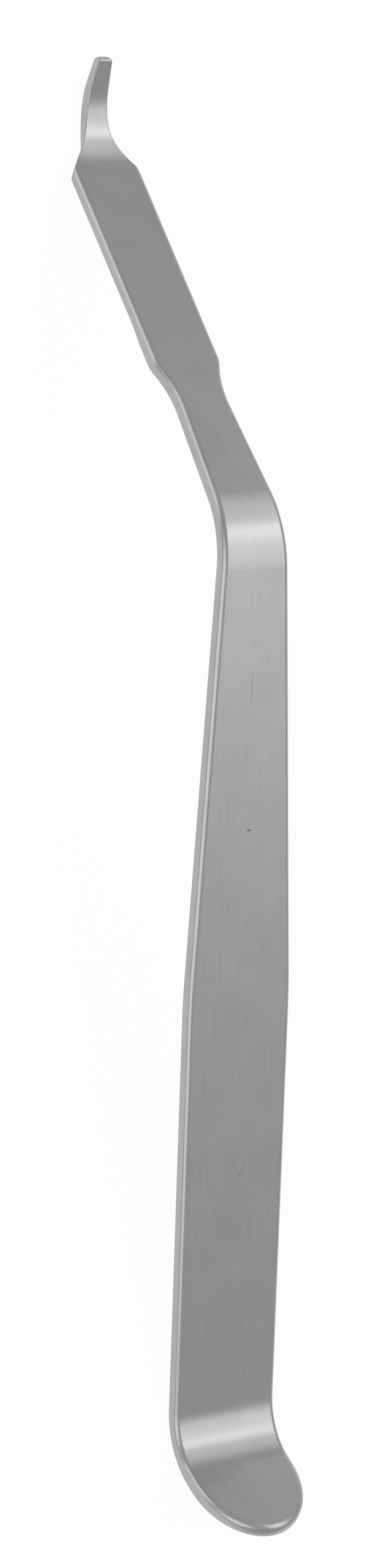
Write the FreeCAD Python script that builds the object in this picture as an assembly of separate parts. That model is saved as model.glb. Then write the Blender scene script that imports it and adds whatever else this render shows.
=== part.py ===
import FreeCAD, Part
import os
from math import asin, atan2, cos, degrees, hypot, radians, sin, sqrt, tan

Vector = FreeCAD.Vector

# Handheld bone-lever retractor, forged and ground from one bar of stainless steel, in millimetres.
# A distance along the strip starts at the round end of the grip hook and ends at the tip of the
# beak. It follows the front face, which is the inside of the hook.

# Strip
strip_thickness = 2.8
rim_radius = 1.1
rim_share = 0.46

# Grip hook
hook_plate_length = 14.3
hook_bend_radius = 9.8
hook_angle = 64.5
hook_end_length = 12.7

# Handle
handle_width = 20.0
handle_even_length = 73.2
handle_waist_radius = 150.0
handle_taper_length = 72.3

# Neck
neck_bend_radius = 14.7
neck_angle = 45.0
neck_length = 23.6
neck_width = 9.25
shoulder_length = 3.4
shoulder_share = 0.6

# Blade
blade_thickness = 2.4
blade_thinning_lead = 3.0
blade_thinning_length = 8.0
blade_foot_width = 13.0
blade_foot_radius = 3.5
blade_length = 41.4
blade_width = 13.4

# Beak
beak_bend_lead = 1.0
beak_bend_radius = 12.3
beak_angle = 65.0
beak_flare_length = 6.7
beak_flare_radius = 13.0
beak_root_width = 4.75
blade_corner_lean = 20.0
beak_root_lean = 46.0
beak_straight_length = 5.35
beak_tip_width = 2.9
beak_tip_thickness = 1.4
beak_tip_taper = 7.0
beak_tip_radius = 0.7
beak_edge_radius = 0.3

# Spare metal left round the strip while its outline is cut, the spots that shape each curved wall,
# and the smallest difference that counts
spare = 1.0
wall_steps = 12
tolerance = 0.001


def travel(point, heading, curvature, length):
    """Point and heading after a length of straight or bent strip."""
    if curvature == 0:
        return point + Vector(cos(heading), 0, sin(heading)) * length, heading
    turned = heading + curvature * length
    step = Vector(sin(turned) - sin(heading), 0, cos(heading) - cos(turned))
    return point + step * (1 / curvature), turned


def strip_stretches():
    """Straight and bent stretches of the front face, as start, length, curvature, point, heading."""
    neck_front_radius = neck_bend_radius + strip_thickness
    moves = [
        (hook_plate_length, 0.0),
        (radians(hook_angle) * hook_bend_radius, 1 / hook_bend_radius),
        (handle_even_length + handle_taper_length, 0.0),
        (radians(neck_angle) * neck_front_radius, -1 / neck_front_radius),
        (neck_length + shoulder_length + blade_length + beak_bend_lead, 0.0),
        (radians(beak_angle) * beak_bend_radius, 1 / beak_bend_radius),
        (beak_straight_length, 0.0),
    ]
    start = 0.0
    point = Vector(0, 0, 0)
    heading = -radians(hook_angle)
    stretches = []
    for length, curvature in moves:
        stretches.append((start, length, curvature, point, heading))
        point, heading = travel(point, heading, curvature, length)
        start += length
    return stretches


stretches = strip_stretches()
hook_bend_start, handle_start, neck_bend_start, neck_start, beak_bend_start, beak_straight_start = [
    stretch[0] for stretch in stretches[1:]
]
strip_length = beak_straight_start + beak_straight_length
bar_length = strip_length + rim_radius + spare
taper_start = handle_start + handle_even_length
waist = neck_start + neck_length
blade_start = waist + shoulder_length
thinning_start = blade_start + blade_thinning_lead
thinning_end = thinning_start + blade_thinning_length
blade_corner = beak_bend_start - beak_bend_lead
beak_root = blade_corner + beak_flare_length

# The shoulder leaves the taper of the handle in an arc that takes up a share of the slope between
# the neck and the rounded foot of the blade.
shoulder_rise = (blade_foot_width - neck_width) / 2
shoulder_turn = atan2(shoulder_rise, shoulder_length) + atan2(
    (handle_width - neck_width) / 2, waist - taper_start
)
foot_turn = atan2(shoulder_rise, shoulder_length)
foot_setback = blade_foot_radius * tan(foot_turn / 2)
shoulder_room = hypot(shoulder_length, shoulder_rise) - foot_setback
shoulder_radius = shoulder_room * shoulder_share / tan(shoulder_turn / 2)


def stretch_at(distance):
    """The stretch that holds a distance along the strip."""
    found = stretches[0]
    for stretch in stretches:
        if distance > stretch[0] - 1e-9:
            found = stretch
    return found


def heading_at(distance):
    start, length, curvature, point, heading = stretch_at(distance)
    return heading + curvature * (distance - start)


def bent(distance, side, depth):
    """Place on the bent strip of a spot on the flat one, to one side and below the front face."""
    start, length, curvature, point, heading = stretch_at(distance)
    surface, turned = travel(point, heading, curvature, distance - start)
    return surface + Vector(depth * sin(turned), side, -depth * cos(turned))


def line(start, end):
    return Part.LineSegment(start, end).toShape()


def arc(start, middle, end):
    return Part.Arc(start, middle, end).toShape()


def skin_edges(first, last, depth):
    """Edges of the side view at one depth, from one distance to another."""
    edges = []
    marks = [first] + [s[0] for s in stretches if first < s[0] < last] + [last]
    for start, end in zip(marks, marks[1:]):
        middle = (start + end) / 2
        if stretch_at(middle)[2] == 0:
            edges.append(line(bent(start, 0, depth), bent(end, 0, depth)))
        else:
            edges.append(arc(bent(start, 0, depth), bent(middle, 0, depth), bent(end, 0, depth)))
    return edges


def thinning_edges():
    """Two equal arcs that bring the back face in from the shoulders to the thinner blade."""
    step = strip_thickness - blade_thickness
    half = blade_thinning_length / 2
    radius = (half ** 2 + (step / 2) ** 2) / step
    quarter_drop = radius - sqrt(radius ** 2 - (half / 2) ** 2)
    middle = bent(thinning_start + half, 0, strip_thickness - step / 2)
    first = arc(
        bent(thinning_start, 0, strip_thickness),
        bent(thinning_start + half / 2, 0, strip_thickness - quarter_drop),
        middle,
    )
    second = arc(
        middle,
        bent(thinning_start + 1.5 * half, 0, blade_thickness + quarter_drop),
        bent(thinning_start + 2 * half, 0, blade_thickness),
    )
    return [first, second]


def beak_back_edges():
    """Back of the beak: an arc that leaves the blade with the front bend, and a tapering end."""
    turn = radians(beak_angle + beak_tip_taper)
    blade_heading = heading_at(beak_bend_start)
    blade_way = Vector(cos(blade_heading), 0, sin(blade_heading))
    tip_way = Vector(cos(blade_heading + turn), 0, sin(blade_heading + turn))
    start = bent(beak_bend_start, 0, blade_thickness)
    tip = bent(strip_length, 0, beak_tip_thickness)
    across = tip - start
    reach = (across.x * tip_way.z - across.z * tip_way.x) / sin(turn)
    corner = start + blade_way * reach
    radius = reach / tan(turn / 2)
    centre = start + Vector(-blade_way.z, 0, blade_way.x) * radius
    end = corner + tip_way * reach
    middle = centre + (corner - centre).normalize() * radius
    return [arc(start, middle, end), line(end, tip)], centre, radius


def back_edges(last):
    edges = skin_edges(-spare, thinning_start, strip_thickness) + thinning_edges()
    return edges + skin_edges(thinning_end, last, blade_thickness)


def grip_corners():
    """Corners of the outline from the hook to the blade, whose sides are carried on to the tip."""
    widening = (blade_width - blade_foot_width) / blade_length
    end_width = blade_foot_width + widening * (bar_length + spare - blade_start)
    return [
        (Vector(hook_end_length, handle_width / 2, 0), 0),
        (Vector(taper_start, handle_width / 2, 0), handle_waist_radius),
        (Vector(waist, neck_width / 2, 0), shoulder_radius),
        (Vector(blade_start, blade_foot_width / 2, 0), blade_foot_radius),
        (Vector(bar_length + spare, end_width / 2, 0), 0),
    ]


def beak_corners():
    """Corners of the outline that narrows the end of the blade to the beak."""
    return [
        (Vector(blade_corner, blade_width / 2, 0), 0),
        (Vector(beak_root, beak_root_width / 2, 0), beak_flare_radius),
        (Vector(strip_length, beak_tip_width / 2, 0), beak_tip_radius),
        (Vector(strip_length, 0, 0), 0),
    ]


def outline(corners):
    """Half width along the strip, as runs of start, end, centre and radius. A line has radius 0."""
    runs = []
    reached = corners[0][0]
    for (before, _), (corner, radius), (after, _) in zip(corners, corners[1:], corners[2:]):
        way_in = (corner - before).normalize()
        way_out = (after - corner).normalize()
        turn = atan2(way_in.x * way_out.y - way_in.y * way_out.x, way_in.dot(way_out))
        setback = radius * abs(tan(turn / 2))
        start = corner - way_in * setback
        end = corner + way_out * setback
        runs.append((reached, start, None, 0))
        if radius:
            swing = radius if turn > 0 else -radius
            runs.append((start, end, start + Vector(-way_in.y, way_in.x, 0) * swing, swing))
        reached = end
    runs.append((reached, corners[-1][0], None, 0))
    return [run for run in runs if run[1].x - run[0].x > tolerance]


def half_width(run, distance):
    """Half width of the strip at a distance that lies in one run of the outline."""
    start, end, centre, swing = run
    if swing == 0:
        return start.y + (end.y - start.y) * (distance - start.x) / (end.x - start.x)
    rise = sqrt(max(swing ** 2 - (distance - centre.x) ** 2, 0))
    return centre.y - rise if swing > 0 else centre.y + rise


def side_lean(distance):
    """Slope of a side away from square to the front face. The sides of the beak's flare lean back."""
    corner_lean = tan(radians(blade_corner_lean))
    root_lean = tan(radians(beak_root_lean))
    if distance < beak_root:
        return corner_lean + (root_lean - corner_lean) * (distance - blade_corner) / beak_flare_length
    return root_lean * max((beak_straight_start - distance) / (beak_straight_start - beak_root), 0)


def wall_edge(run, first, last, depth, leaning):
    """One edge of a side wall, where the wall crosses a surface at a depth below the front face."""
    def spot(share):
        distance = first + (last - first) * share
        lag = depth * side_lean(distance) if leaning else 0
        return bent(distance - lag, half_width(run, distance), depth)

    middle = (first + last) / 2
    if stretch_at(middle)[2] != 0 or leaning and side_lean(middle) != 0:
        curve = Part.BSplineCurve()
        curve.interpolate([spot(step / wall_steps) for step in range(wall_steps + 1)])
        return curve.toShape()
    if run[3] == 0:
        return line(spot(0), spot(1))
    return arc(spot(0), spot(0.5), spot(1))


def side_cutters(runs, leaning):
    """Solids that trim the side of the strip to an outline, one for each run and stretch."""
    cutters = []
    for run in runs:
        start, end = run[0].x, run[1].x
        bends = [s[0] for s in stretches if start + tolerance < s[0] < end - tolerance]
        marks = [start] + bends + [end]
        for first, last in zip(marks, marks[1:]):
            upper = wall_edge(run, first, last, -spare, leaning)
            lower = wall_edge(run, first, last, strip_thickness + spare, leaning)
            wall = Part.makeRuledSurface(upper, lower)
            cutters.append(wall.extrude(Vector(0, handle_width / 2 + spare, 0)))
    return cutters


def hook_end_cutter():
    """Trims the end of the grip hook to half an ellipse that runs into the sides."""
    depth = strip_thickness + 2 * spare
    disc = Part.makeCylinder(handle_width / 2, depth)
    stretch = FreeCAD.Matrix()
    stretch.scale(Vector(2 * hook_end_length / handle_width, 1, 1))
    disc = disc.transformGeometry(stretch)
    reach = hook_end_length + 2 * spare
    block = Part.makeBox(reach, handle_width / 2 + spare, depth)
    block.translate(Vector(-reach, 0, 0))
    cutter = block.cut(disc)
    cutter.translate(Vector(hook_end_length, 0, spare - depth))
    cutter.rotate(Vector(0, 0, 0), Vector(0, 1, 0), hook_angle)
    return cutter


def edge_middle(edge):
    return edge.valueAt((edge.FirstParameter + edge.LastParameter) / 2)


def rim(body, edges, first, last):
    """Edges round the outline of one skin, between two places along the length of the object."""
    skin = Part.Wire(edges).extrude(Vector(0, handle_width / 2 + spare, 0))
    uses = {}
    for face in body.Faces:
        first_u, last_u, first_v, last_v = face.ParameterRange
        middle = face.valueAt((first_u + last_u) / 2, (first_v + last_v) / 2)
        if skin.distToShape(Part.Vertex(middle))[0] < tolerance:
            for edge in face.Edges:
                uses.setdefault(edge.hashCode(), []).append(edge)
    outer = [found[0] for found in uses.values() if len(found) == 1]
    return [
        edge for edge in outer
        if edge_middle(edge).y > tolerance and first < edge_middle(edge).x < last
    ]


def slab(edges):
    """Solid half as wide as the bar, with its spare metal, from the edges of its side view."""
    side_view = Part.Face(Part.Wire(Part.__sortEdges__(edges)))
    return side_view.extrude(Vector(0, handle_width / 2 + spare, 0))


def end_edge(distance, upper, lower):
    """Edge of the side view that crosses the strip between two depths."""
    return line(bent(distance, 0, upper), bent(distance, 0, lower))


def half_bar():
    """Half of the bent strip with square rims, a level handle and a blade that runs past the tip."""
    ends = [end_edge(-spare, 0, strip_thickness), end_edge(bar_length, 0, blade_thickness)]
    edges = skin_edges(-spare, bar_length, 0) + back_edges(bar_length) + ends
    cutters = [hook_end_cutter()] + side_cutters(outline(grip_corners()), False)
    return slab(edges).cut(cutters).removeSplitter().Solids[0]


def rolled(body):
    """Both rims rolled over, all the way round the bar."""
    radius = min(rim_radius, blade_thickness * rim_share)
    for edges in (skin_edges(-spare, bar_length, 0), back_edges(bar_length)):
        body = body.makeFillet(radius, rim(body, edges, -bar_length, bar_length))
    return body


def beak_end_cutter():
    """Solid behind and beyond the beak, which thins it toward the tip and cuts it to length."""
    beyond = bar_length + spare
    below = blade_thickness + spare
    edges = beak_back_edges()[0] + [
        end_edge(strip_length, beak_tip_thickness, -spare),
        line(bent(strip_length, 0, -spare), bent(beyond, 0, -spare)),
        end_edge(beyond, -spare, below),
        end_edge(beak_bend_start, blade_thickness, below),
    ]
    return slab(edges + skin_edges(beak_bend_start, beyond, below))


def with_beak(body):
    """The bar narrowed and thinned to the beak, whose edges are only eased."""
    body = body.cut(side_cutters(outline(beak_corners()), True)).Solids[0]
    body = body.cut(beak_end_cutter()).Solids[0]
    # The eased edges start where the sides of the beak have cut through the rolled rims.
    narrowing = (blade_width - beak_root_width) / 2 / beak_flare_length
    clear = blade_corner + rim_radius / narrowing
    lag = blade_thickness * side_lean(blade_corner)
    front = skin_edges(blade_start, strip_length, 0)
    back = skin_edges(thinning_end, beak_bend_start, blade_thickness) + beak_back_edges()[0]
    edges = rim(body, front, bent(clear, 0, 0).x, strip_length)
    edges += rim(body, back, bent(clear - lag, 0, blade_thickness).x, strip_length)
    return body.makeFillet(beak_edge_radius, edges).Solids[0]


def whole(half):
    """Both halves as one solid."""
    return half.fuse(half.mirror(Vector(0, 0, 0), Vector(0, 1, 0))).removeSplitter().Solids[0]


def lean():
    """Angle the level handle leans by once the hook and the beak both touch a flat table."""
    hook_centre = bent(hook_bend_start, 0, -hook_bend_radius)
    hook_radius = hook_bend_radius + strip_thickness
    beak_edges, beak_centre, beak_radius = beak_back_edges()
    gap = beak_centre - hook_centre
    return atan2(gap.z, gap.x) - asin((beak_radius - hook_radius) / gap.Length)


def at_rest(body):
    """Lie the object on its back with its origin under the middle of its bounding box."""
    body.rotate(Vector(0, 0, 0), Vector(0, 1, 0), degrees(lean()))
    box = body.optimalBoundingBox()
    body.translate(Vector(-box.Center.x, -box.Center.y, -box.ZMin))
    return body


if __name__ == "__main__":
    os.makedirs("parts", exist_ok=True)
    at_rest(whole(with_beak(rolled(half_bar())))).exportStep("parts/retractor.step")
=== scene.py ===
import math
import bmesh
import bpy
from mathutils import Matrix, Vector


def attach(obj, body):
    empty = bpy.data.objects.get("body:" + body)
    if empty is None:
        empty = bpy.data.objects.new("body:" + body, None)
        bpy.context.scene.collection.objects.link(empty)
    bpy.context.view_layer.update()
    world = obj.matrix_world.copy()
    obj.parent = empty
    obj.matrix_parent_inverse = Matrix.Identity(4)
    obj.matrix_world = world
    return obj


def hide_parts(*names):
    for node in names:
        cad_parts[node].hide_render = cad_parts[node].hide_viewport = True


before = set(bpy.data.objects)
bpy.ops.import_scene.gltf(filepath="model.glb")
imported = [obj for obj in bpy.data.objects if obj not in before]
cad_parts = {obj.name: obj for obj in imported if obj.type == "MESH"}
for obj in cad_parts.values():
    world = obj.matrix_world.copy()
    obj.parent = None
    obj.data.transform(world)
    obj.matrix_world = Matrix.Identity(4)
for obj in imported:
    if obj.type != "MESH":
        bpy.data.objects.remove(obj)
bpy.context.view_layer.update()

scene = bpy.context.scene
mm = 0.001
tiny = 0.001 * mm
cutGap = tiny / 2


# ---- small mesh helpers
def lineTo(bm, vert, x, y):
    made = bmesh.ops.extrude_vert_indiv(bm, verts=[vert])["verts"][0]
    made.co = Vector((x, y, 0))
    return made


def arcTo(bm, vert, centre, angle, steps):
    spun = bmesh.ops.spin(bm, geom=[vert], cent=(centre.x, centre.y, 0), axis=(0, 0, 1),
                          angle=angle, steps=steps, use_duplicate=False)
    return [piece for piece in spun["geom_last"] if isinstance(piece, bmesh.types.BMVert)][0]


# The steel bar. It is drawn as a flat blank with both rims rolled over, the beak is drawn out of
# its open end ring by ring, and then it is bent. Distances run from the round end of the grip hook.
bar = {
    "thickness": 2.8 * mm,
    "rimRadius": 1.1 * mm,
    "rimSteps": 8,
    "hookPlate": 14.3 * mm,
    "hookRadius": 9.8 * mm,
    "hookAngle": 64.5,
    "hookEnd": 12.7 * mm,
    "handleWidth": 20.0 * mm,
    "handleEven": 73.2 * mm,
    "waistRadius": 150.0 * mm,
    "handleTaper": 72.3 * mm,
    "neckBackRadius": 14.7 * mm,
    "neckAngle": 45.0,
    "neckLength": 21.9 * mm,
    "neckWidth": 9.25 * mm,
    "shoulderLength": 5.1 * mm,
    "shoulderShare": 0.95,
    "bladeThickness": 2.4 * mm,
    "thinningLead": 3.0 * mm,
    "thinningLength": 8.0 * mm,
    "bladeFootWidth": 13.0 * mm,
    "bladeFootRadius": 6.0 * mm,
    "bladeLength": 41.4 * mm,
    "bladeWidth": 13.4 * mm,
    "bendStep": 1.5,
    "cornerStep": 3.0,
    "cornerSteps": 6,
    "hookEndSteps": 60,
    "thinningSteps": 12,
    "flatNormal": 0.8,
    "flatWeight": 50,
}
beak = {
    "bendLead": 1.0 * mm,
    "radius": 12.3 * mm,
    "angle": 65.0,
    "flareLength": 6.7 * mm,
    "flareRadius": 13.0 * mm,
    "rootWidth": 4.75 * mm,
    "cornerLean": 20.0,
    "rootLean": 46.0,
    "straight": 5.35 * mm,
    "tipWidth": 2.9 * mm,
    "tipThickness": 1.4 * mm,
    "tipTaper": 7.0,
    "tipRadius": 0.7 * mm,
    "edgeRadius": 0.3 * mm,
    "rollOut": 1.2 * mm,
    "fade": 0.9 * mm,
    "ringGap": 0.35 * mm,
    "endSteps": 10,
    "endEase": 0.45 * mm,
    "sharpEdge": 28.0,
}


def layOutStretches():
    # straight and bent stretches of the front face: start, length, curvature, point, heading
    neckFront = bar["neckBackRadius"] + bar["thickness"]
    hookTurn = math.radians(bar["hookAngle"])
    bladeReach = bar["neckLength"] + bar["shoulderLength"] + bar["bladeLength"] + beak["bendLead"]
    moves = [
        (bar["hookPlate"], 0),
        (hookTurn * bar["hookRadius"], 1 / bar["hookRadius"]),
        (bar["handleEven"] + bar["handleTaper"], 0),
        (math.radians(bar["neckAngle"]) * neckFront, -1 / neckFront),
        (bladeReach, 0),
        (math.radians(beak["angle"]) * beak["radius"], 1 / beak["radius"]),
        (beak["straight"], 0),
    ]
    start, point, heading, laid = 0, Vector((0, 0, 0)), -hookTurn, []
    for length, curvature in moves:
        laid.append((start, length, curvature, point, heading))
        point, heading = travel(point, heading, curvature, length)
        start += length
    return laid


def travel(point, heading, curvature, length):
    if curvature == 0:
        return point + Vector((math.cos(heading), 0, math.sin(heading))) * length, heading
    turned = heading + curvature * length
    step = Vector((math.sin(turned) - math.sin(heading), 0, math.cos(heading) - math.cos(turned)))
    return point + step / curvature, turned


stretches = layOutStretches()
hookBendStart, handleStart, neckBendStart, neckStart, beakBendStart, beakStraightStart = [
    stretch[0] for stretch in stretches[1:]]
barLength = beakStraightStart + beak["straight"]
taperStart = handleStart + bar["handleEven"]
waist = neckStart + bar["neckLength"]
bladeStart = waist + bar["shoulderLength"]
thinningStart = bladeStart + bar["thinningLead"]
bladeCorner = beakBendStart - beak["bendLead"]
beakRoot = bladeCorner + beak["flareLength"]


def bent(flat):
    # flat x is distance along the bar, y is to one side, z is minus the depth below the front face
    found = [stretch for stretch in stretches if flat.x > stretch[0] - 1e-9] or stretches[:1]
    start, length, curvature, point, heading = found[-1]
    surface, turned = travel(point, heading, curvature, flat.x - start)
    return surface + Vector((-flat.z * math.sin(turned), flat.y, flat.z * math.cos(turned)))


def thicknessAt(x):
    # constant to the shoulders, and thinner along the blade
    share = min(max((x - thinningStart) / bar["thinningLength"], 0), 1)
    fall = 2 * share ** 2 if share < 0.5 else 1 - 2 * (1 - share) ** 2
    return bar["thickness"] + (bar["bladeThickness"] - bar["thickness"]) * fall


def beakBack():
    # the back of the beak is one arc that leaves the blade with the bend, and a straight end
    bladeWay = stretches[4][4]
    turn = math.radians(beak["angle"] + beak["tipTaper"])
    start = bent(Vector((beakBendStart, 0, -bar["bladeThickness"])))
    tip = bent(Vector((barLength, 0, -beak["tipThickness"])))
    across = tip - start
    tipX, tipZ = math.cos(bladeWay + turn), math.sin(bladeWay + turn)
    radius = (across.x * tipZ - across.z * tipX) / math.sin(turn) / math.tan(turn / 2)
    centre = start + Vector((-math.sin(bladeWay), 0, math.cos(bladeWay))) * radius
    return centre, radius, tip, Vector((tipZ, 0, -tipX))


def beakThicknessAt(x):
    # walk down the normal of the front face until the back is met
    if x <= beakBendStart:
        return bar["bladeThickness"]
    centre, radius, tip, outward = beakBack()
    front = bent(Vector((x, 0, 0)))
    down = bent(Vector((x, 0, -1))) - front
    gap = front - centre
    along = gap.dot(down)
    depth = -along + math.sqrt(max(along ** 2 - gap.length_squared + radius ** 2, 0))
    meet = front + down * depth - centre
    if meet.cross(outward).y > 0:
        depth = (tip - front).dot(outward) / down.dot(outward)
    return depth


def sideLean(x):
    # how far the sides of the beak lean back for each unit of depth
    cornerLean = math.tan(math.radians(beak["cornerLean"]))
    rootLean = math.tan(math.radians(beak["rootLean"]))
    if x < beakRoot:
        return cornerLean + (rootLean - cornerLean) * (x - bladeCorner) / beak["flareLength"]
    return rootLean * max((beakStraightStart - x) / (beakStraightStart - beakRoot), 0)


def followCorners(bm, last, corners):
    # straight runs joined by arcs; a corner is distance, half width and radius
    for before, corner, after in zip(corners, corners[1:], corners[2:]):
        wayIn = (Vector(corner[:2]) - Vector(before[:2])).normalized()
        wayOut = (Vector(after[:2]) - Vector(corner[:2])).normalized()
        turn = math.atan2(wayIn.x * wayOut.y - wayIn.y * wayOut.x, wayIn.dot(wayOut))
        setback = corner[2] * abs(math.tan(turn / 2))
        start = Vector(corner[:2]) - wayIn * setback
        if (start - last.co.xy).length > tiny:
            last = lineTo(bm, last, start.x, start.y)
        if setback > 0:
            centre = start + Vector((-wayIn.y, wayIn.x)) * setback / math.tan(turn / 2)
            steps = max(bar["cornerSteps"], round(abs(math.degrees(turn)) / bar["cornerStep"]))
            last = arcTo(bm, last, centre, turn, steps)
    return lineTo(bm, last, *corners[-1][:2])


def mirrorAcross(bm):
    bmesh.ops.mirror(bm, geom=bm.verts[:] + bm.edges[:], matrix=Matrix.Identity(4),
                     merge_dist=tiny, axis="Y")
    bmesh.ops.remove_doubles(bm, verts=bm.verts[:], dist=tiny)


def sink(bm):
    sunk = bmesh.ops.extrude_face_region(bm, geom=bm.faces[:])["geom"]
    return [piece for piece in sunk if isinstance(piece, bmesh.types.BMVert)]


def bendStations():
    # places where the blank is cut across, close together where it bends or changes thickness
    count = bar["thinningSteps"]
    places = [thinningStart + bar["thinningLength"] * step / count for step in range(count + 1)]
    for start, length, curvature, point, heading in stretches:
        steps = 1
        if curvature:
            steps = math.ceil(math.degrees(abs(curvature) * length) / bar["bendStep"])
        places += [start + length * step / steps for step in range(steps)]
    return sorted(place for place in places if tiny < place < bladeCorner)


def cutAcross(bm, places):
    for place in places:
        bmesh.ops.bisect_plane(bm, geom=bm.verts[:] + bm.edges[:] + bm.faces[:], dist=cutGap,
                               plane_co=(place, 0, 0), plane_no=(1, 0, 0))


def makeBlank():
    bm = bmesh.new()
    half = bar["handleWidth"] / 2
    tip = bmesh.ops.create_vert(bm, co=(0, 0, 0))["vert"][0]
    last = arcTo(bm, tip, Vector((bar["hookEnd"], 0)), -math.pi / 2, bar["hookEndSteps"])
    bmesh.ops.scale(bm, verts=bm.verts[:], vec=(1, half / bar["hookEnd"], 1))
    rise = (bar["bladeFootWidth"] - bar["neckWidth"]) / 2
    footTurn = math.atan2(rise, bar["shoulderLength"])
    shoulderTurn = footTurn + math.atan2(half - bar["neckWidth"] / 2, waist - taperStart)
    room = math.hypot(bar["shoulderLength"], rise) - bar["bladeFootRadius"] * math.tan(footTurn / 2)
    shoulderRadius = room * bar["shoulderShare"] / math.tan(shoulderTurn / 2)
    widening = (bar["bladeWidth"] - bar["bladeFootWidth"]) / bar["bladeLength"]
    endWidth = bar["bladeFootWidth"] + widening * (barLength - bladeStart)
    followCorners(bm, last, [
        (bar["hookEnd"], half, 0),
        (taperStart, half, bar["waistRadius"]),
        (waist, bar["neckWidth"] / 2, shoulderRadius),
        (bladeStart, bar["bladeFootWidth"] / 2, bar["bladeFootRadius"]),
        (barLength, endWidth / 2, 0),
        (barLength, 0, 0),
    ])
    mirrorAcross(bm)
    bmesh.ops.contextual_create(bm, geom=bm.edges[:])
    cutAcross(bm, bendStations())
    for vert in sink(bm):
        vert.co.z = -thicknessAt(vert.co.x)
    bmesh.ops.recalc_face_normals(bm, faces=bm.faces[:])
    flats = {face for face in bm.faces if abs(face.normal.z) > bar["flatNormal"]}
    rims = [edge for edge in bm.edges if sum(face in flats for face in edge.link_faces) == 1]
    bmesh.ops.bevel(bm, geom=rims, offset=bar["rimRadius"], offset_type="OFFSET",
                    segments=bar["rimSteps"], profile=0.5, affect="EDGES", material=-1)
    return bm


def beakHalfWidth(x):
    # straight from the corner of the blade, one wide arc, and straight to the tip
    corner = Vector((bladeCorner, bar["bladeWidth"] / 2))
    root = Vector((beakRoot, beak["rootWidth"] / 2))
    tip = Vector((barLength, beak["tipWidth"] / 2))
    wayIn, wayOut = (root - corner).normalized(), (tip - root).normalized()
    turn = wayOut.angle(wayIn)
    start = root - wayIn * beak["flareRadius"] * math.tan(turn / 2)
    end = root + wayOut * beak["flareRadius"] * math.tan(turn / 2)
    if x < start.x:
        return corner.y + (x - corner.x) * wayIn.y / wayIn.x
    if x > end.x:
        return tip.y + (x - tip.x) * wayOut.y / wayOut.x
    centre = start + Vector((-wayIn.y, wayIn.x)) * beak["flareRadius"]
    return centre.y - math.sqrt(beak["flareRadius"] ** 2 - (x - centre.x) ** 2)


def beakRings():
    # distance, half width and rim radius of each ring of the beak
    rings = []
    last = barLength - beak["tipRadius"]
    count = math.ceil((last - bladeCorner) / beak["ringGap"])
    for step in range(count + 1):
        x = bladeCorner + (last - bladeCorner) * step / count
        faded = min((x - bladeCorner) / beak["fade"], 1)
        radius = bar["rimRadius"] + (beak["edgeRadius"] - bar["rimRadius"]) * faded
        rings.append((x, beakHalfWidth(x), radius))
    for step in range(1, beak["endSteps"] + 1):
        angle = math.pi / 2 * step / beak["endSteps"]
        x = last + beak["tipRadius"] * math.sin(angle)
        drawnIn = beak["tipRadius"] * (1 - math.cos(angle))
        rings.append((x, beakHalfWidth(x) - drawnIn, beak["edgeRadius"]))
    return rings


def drawOutBeak(bm):
    start, roll, deep = bladeCorner - beak["rollOut"], bar["rimRadius"], bar["bladeThickness"]
    bmesh.ops.bisect_plane(bm, geom=bm.verts[:] + bm.edges[:] + bm.faces[:], dist=cutGap,
                           plane_co=(start, 0, 0), plane_no=(1, 0, 0), clear_outer=True)
    # a spot on the section is its share of the flat, its share of the roll across, and the roll down
    flat = bm.verts.layers.float.new("flat")
    across = bm.verts.layers.float.new("across")
    down = bm.verts.layers.float.new("down")
    back = bm.verts.layers.int.new("back")
    loop = [edge for edge in bm.edges if edge.is_boundary]
    opening = {vert for edge in loop for vert in edge.verts}
    half = max(vert.co.y for vert in opening)
    for vert in opening:
        side = math.copysign(1, vert.co.y)
        vert[back] = vert.co.z < -deep / 2
        depth = deep + vert.co.z if vert[back] else -vert.co.z
        vert[flat] = side * min(abs(vert.co.y) / (half - roll), 1)
        vert[across] = side * max((abs(vert.co.y) - half + roll) / roll, 0)
        vert[down] = depth / roll
    for x, width, radius in beakRings():
        made = bmesh.ops.extrude_edge_only(bm, edges=loop)["geom"]
        loop = [piece for piece in made if isinstance(piece, bmesh.types.BMEdge)]
        thick = beakThicknessAt(x - beakThicknessAt(x) * sideLean(x))
        past = max(x - barLength + beak["endEase"], 0)
        inset = beak["endEase"] - math.sqrt(max(beak["endEase"] ** 2 - past ** 2, 0))
        for vert in {vert for edge in loop for vert in edge.verts}:
            depth = inset + vert[down] * radius
            if vert[back]:
                depth = thick - depth
            side = vert[flat] * (width - radius) + vert[across] * radius
            vert.co = Vector((x - depth * sideLean(x), side, -depth))
    bmesh.ops.contextual_create(bm, geom=loop)
    bmesh.ops.recalc_face_normals(bm, faces=bm.faces[:])


def leanAngle():
    # both bends touch the table once the level handle leans by this angle
    hookCentre = bent(Vector((hookBendStart, 0, bar["hookRadius"])))
    centre, radius, tip, outward = beakBack()
    gap = centre - hookCentre
    difference = radius - bar["hookRadius"] - bar["thickness"]
    return math.atan2(gap.z, gap.x) - math.asin(difference / gap.length)


def makeBar():
    bm = makeBlank()
    drawOutBeak(bm)
    blank = bm.verts.layers.float_vector.new("blank")
    turn = Matrix.Rotation(leanAngle(), 3, "Y")
    for vert in bm.verts:
        vert[blank] = vert.co
        vert.co = turn @ bent(vert.co)
    lows = [min(vert.co[axis] for vert in bm.verts) for axis in range(3)]
    highs = [max(vert.co[axis] for vert in bm.verts) for axis in range(3)]
    shift = Vector((-(lows[0] + highs[0]) / 2, 0, -lows[2]))
    bmesh.ops.translate(bm, verts=bm.verts[:], vec=shift)
    for face in bm.faces:
        face.smooth = True
    for edge in bm.edges:
        edge.smooth = edge.calc_face_angle(0) < math.radians(beak["sharpEdge"])
    mesh = bpy.data.meshes.new("retractorSteel")
    bm.to_mesh(mesh)
    bm.free()
    return mesh


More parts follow.
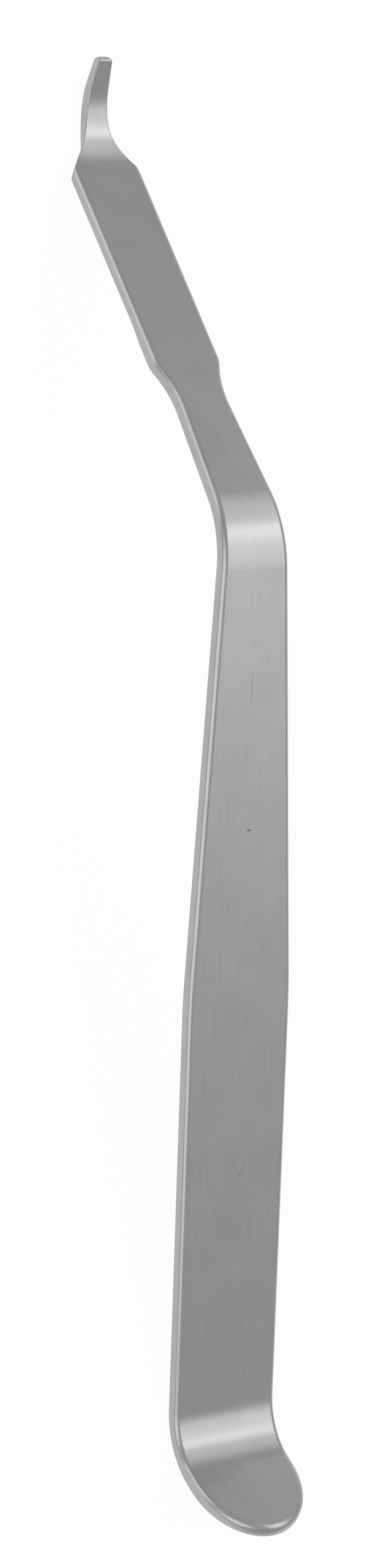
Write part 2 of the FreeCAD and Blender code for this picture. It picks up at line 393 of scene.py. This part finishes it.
barMesh = makeBar()
barPiece = bpy.data.objects.new("retractorSteel", barMesh)
scene.collection.objects.link(barPiece)
weighted = barPiece.modifiers.new("flatFaces", "WEIGHTED_NORMAL")
weighted.keep_sharp = True
weighted.weight = bar["flatWeight"]
print("bar bent,", len(barMesh.vertices), "points")


# ---- shader maths
class Wire:
    # one socket of a node tree, with the usual operators
    def __init__(self, tree, socket):
        self.tree, self.socket = tree, socket

    def maths(self, operation, *others):
        return node(self.tree, "ShaderNodeMath", {"operation": operation}, [self, *others])

    def __add__(self, other): return self.maths("ADD", other)
    def __radd__(self, other): return self.maths("ADD", other)
    def __sub__(self, other): return self.maths("SUBTRACT", other)
    def __rsub__(self, other): return self * -1 + other
    def __mul__(self, other): return self.maths("MULTIPLY", other)
    def __rmul__(self, other): return self.maths("MULTIPLY", other)
    def __truediv__(self, other): return self.maths("DIVIDE", other)

    def ramp(self, low, high, start=0.0, end=1.0):
        return node(self.tree, "ShaderNodeMapRange", {"clamp": True, "interpolation_type": "SMOOTHSTEP"},
                    [self, low, high, start, end])


def node(tree, kind, settings, values, output=0):
    made = tree.nodes.new(kind)
    for name, value in settings.items():
        setattr(made, name, value)
    pairs = values.items() if isinstance(values, dict) else enumerate(values)
    for name, value in pairs:
        if isinstance(value, Wire):
            tree.links.new(value.socket, made.inputs[name])
        else:
            made.inputs[name].default_value = value
    return Wire(tree, made.outputs[output]) if made.outputs else made


# The steel: satin, with fine grinding lines along the bar. Patterns follow the flat blank.
# A mark is distance from the hook, distance to the side, length, width and strength.
steel = {
    "dull": (0.49, 0.49, 0.49, 1),
    "bright": (0.61, 0.61, 0.61, 1),
    "mark": (0.16, 0.16, 0.16, 1),
    "roughness": 0.33,
    "roughnessSpread": 0.10,
    "lineLength": 9 * mm,
    "lineWidth": 0.35 * mm,
    "cloudSize": 9 * mm,
    "grainSize": 0.25 * mm,
    "noiseRoughness": 0.55,
    "shade": {"lines": 0.9, "clouds": 0.7, "grain": 0.3, "drop": 0.45},
    "rough": {"lines": 0.6, "grain": 0.4, "drop": 0.5, "marks": 0.1},
    "height": {"lines": 0.7, "grain": 0.5, "marks": -2.0},
    "bumpStrength": 0.25,
    "bumpHeight": 0.004 * mm,
    "marks": [
        (151.2, 0.0, 7.0, 0.22, 0.35),
        (127.1, -0.4, 0.4, 1.0, 0.9),
        (67.0, -1.1, 0.6, 0.7, 0.4),
    ],
}


def noise(tree, spot, length, width, detail):
    # spot is the place on the blank: along, across and depth
    scaled = [spot[0] / length, spot[1] / width, spot[2] / width]
    place = node(tree, "ShaderNodeCombineXYZ", {}, scaled)
    values = {"Vector": place, "Scale": 1.0, "Detail": detail, "Roughness": steel["noiseRoughness"]}
    return node(tree, "ShaderNodeTexNoise", {"noise_dimensions": "3D"}, values, "Fac")


def addMarks(spot):
    total = spot[1] * 0
    for far, side, length, width, strength in steel["marks"]:
        nearAlong = (spot[0] - far * mm).maths("ABSOLUTE").ramp(length * mm / 2, length * mm / 4)
        nearAcross = (spot[1] - side * mm).maths("ABSOLUTE").ramp(width * mm / 2, width * mm / 8)
        total = total + nearAlong * nearAcross * strength
    return total


def mixColours(tree, share, first, second):
    return node(tree, "ShaderNodeMix", {"data_type": "RGBA"}, {0: share, 6: first, 7: second}, 2)


def makeSteel():
    material = bpy.data.materials.new("satinSteel")
    material.use_nodes = True
    tree = material.node_tree
    tree.nodes.clear()
    blank = node(tree, "ShaderNodeAttribute", {"attribute_name": "blank"}, [], "Vector")
    spot = [node(tree, "ShaderNodeSeparateXYZ", {}, [blank], axis) for axis in "XYZ"]
    lines = noise(tree, spot, steel["lineLength"], steel["lineWidth"], 3.0)
    clouds = noise(tree, spot, steel["cloudSize"], steel["cloudSize"], 2.0)
    grain = noise(tree, spot, steel["grainSize"], steel["grainSize"], 2.0)
    marks = addMarks(spot)
    shade, rough, height = steel["shade"], steel["rough"], steel["height"]
    tone = lines * shade["lines"] + clouds * shade["clouds"] + grain * shade["grain"] - shade["drop"]
    tone = tone.maths("MAXIMUM", 0).maths("MINIMUM", 1)
    ground = mixColours(tree, tone, steel["dull"], steel["bright"])
    unevenness = lines * rough["lines"] + grain * rough["grain"] - rough["drop"]
    relief = lines * height["lines"] + grain * height["grain"] + marks * height["marks"]
    shader = node(tree, "ShaderNodeBsdfPrincipled", {}, {
        "Base Color": mixColours(tree, marks, ground, steel["mark"]),
        "Metallic": 1.0,
        "Roughness": steel["roughness"] + unevenness * steel["roughnessSpread"] + marks * rough["marks"],
        "Normal": node(tree, "ShaderNodeBump", {}, {
            "Strength": steel["bumpStrength"],
            "Distance": steel["bumpHeight"],
            "Height": relief,
        }),
    })
    node(tree, "ShaderNodeOutputMaterial", {}, {"Surface": shader})
    return material


barMesh.materials.append(makeSteel())
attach(barPiece, "root")
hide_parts("retractor")
print("steel made")


# ---- floor
# shares of plain white in the floor as the camera sees it and as the steel reflects it
floorLook = {
    "halfSize": 1.5,
    "colour": (0.8, 0.8, 0.8, 1),
    "seen": 0.96,
    "reflected": 0.6,
}


def makeFloor():
    bm = bmesh.new()
    bmesh.ops.create_grid(bm, x_segments=1, y_segments=1, size=floorLook["halfSize"])
    mesh = bpy.data.meshes.new("floor")
    bm.to_mesh(mesh)
    bm.free()
    floor = bpy.data.objects.new("floor", mesh)
    scene.collection.objects.link(floor)
    material = bpy.data.materials.new("floorWhite")
    material.use_nodes = True
    tree = material.node_tree
    tree.nodes.clear()
    seen = node(tree, "ShaderNodeLightPath", {}, [], "Is Camera Ray")
    glossy = node(tree, "ShaderNodeLightPath", {}, [], "Is Glossy Ray")
    transmitted = node(tree, "ShaderNodeLightPath", {}, [], "Is Transmission Ray")
    white = seen * floorLook["seen"] + glossy.maths("MAXIMUM", transmitted) * floorLook["reflected"]
    lit = node(tree, "ShaderNodeBsdfDiffuse", {}, {"Color": floorLook["colour"]})
    glow = node(tree, "ShaderNodeEmission", {}, {"Color": (1, 1, 1, 1), "Strength": 1.0})
    mixed = node(tree, "ShaderNodeMixShader", {}, [white, lit, glow])
    node(tree, "ShaderNodeOutputMaterial", {}, {"Surface": mixed})
    mesh.materials.append(material)


makeFloor()


# ---- light
# place, aim, size and radiance of each softbox
light = {
    "world": 0.43,
    "softboxes": {
        "shelf": ((-0.02, -0.72, 1.15), (0, 0, 0), (1.1, 0.8), 0.78),
        "strip": ((0.42, -0.72, 1.15), (0.05, 0, 0), (0.2, 0.8), 1.3),
        "end": ((0.74, -0.6, 0.75), (0, 0, 0), (0.4, 0.5), 0.6),
        "left": ((-0.3, 0.85, 0.75), (0, 0, 0), (1.1, 0.9), 0.8),
        "low": ((0.85, 0.75, 0.24), (0.05, 0, 0.02), (0.9, 0.4), 0.9),
    },
}


def addSoftbox(name):
    place, aim, size, radiance = light["softboxes"][name]
    lamp = bpy.data.lights.new(name, "AREA")
    lamp.shape = "RECTANGLE"
    lamp.size, lamp.size_y = size
    lamp.energy = radiance * math.pi * size[0] * size[1]
    holder = bpy.data.objects.new(name, lamp)
    scene.collection.objects.link(holder)
    holder.location = place
    holder.rotation_euler = (Vector(aim) - Vector(place)).to_track_quat("-Z", "Y").to_euler()


def makeWorld():
    world = bpy.data.worlds.new("studio")
    scene.world = world
    world.use_nodes = True
    tree = world.node_tree
    tree.nodes.clear()
    room = node(tree, "ShaderNodeBackground", {}, {"Color": (1, 1, 1, 1), "Strength": light["world"]})
    node(tree, "ShaderNodeOutputWorld", {}, {"Surface": room})


makeWorld()
for name in light["softboxes"]:
    addSoftbox(name)


# ---- camera
camera = {
    "place": Vector((0.0031839, 0.3099302, 0.5536809)),
    "right": Vector((-0.0975475, -0.8644860, 0.4931008)),
    "forward": Vector((-0.0028540, -0.4952187, -0.8687636)),
    "focalPixels": 6000,
    "imageHeight": 2560,
    "sensorHeight": 36,
    "clipStart": 0.01,
}


def makeCamera():
    lens = bpy.data.cameras.new("camera")
    lens.sensor_fit = "VERTICAL"
    lens.sensor_height = camera["sensorHeight"]
    lens.lens = camera["focalPixels"] / camera["imageHeight"] * camera["sensorHeight"]
    lens.clip_start = camera["clipStart"]
    holder = bpy.data.objects.new("camera", lens)
    scene.collection.objects.link(holder)
    right, back = camera["right"].normalized(), -camera["forward"].normalized()
    up = back.cross(right)
    turn = Matrix((right, up, back)).transposed().to_4x4()
    holder.matrix_world = Matrix.Translation(camera["place"]) @ turn
    scene.camera = holder


makeCamera()
scene.view_settings.view_transform = "Standard"
print("camera and light set")
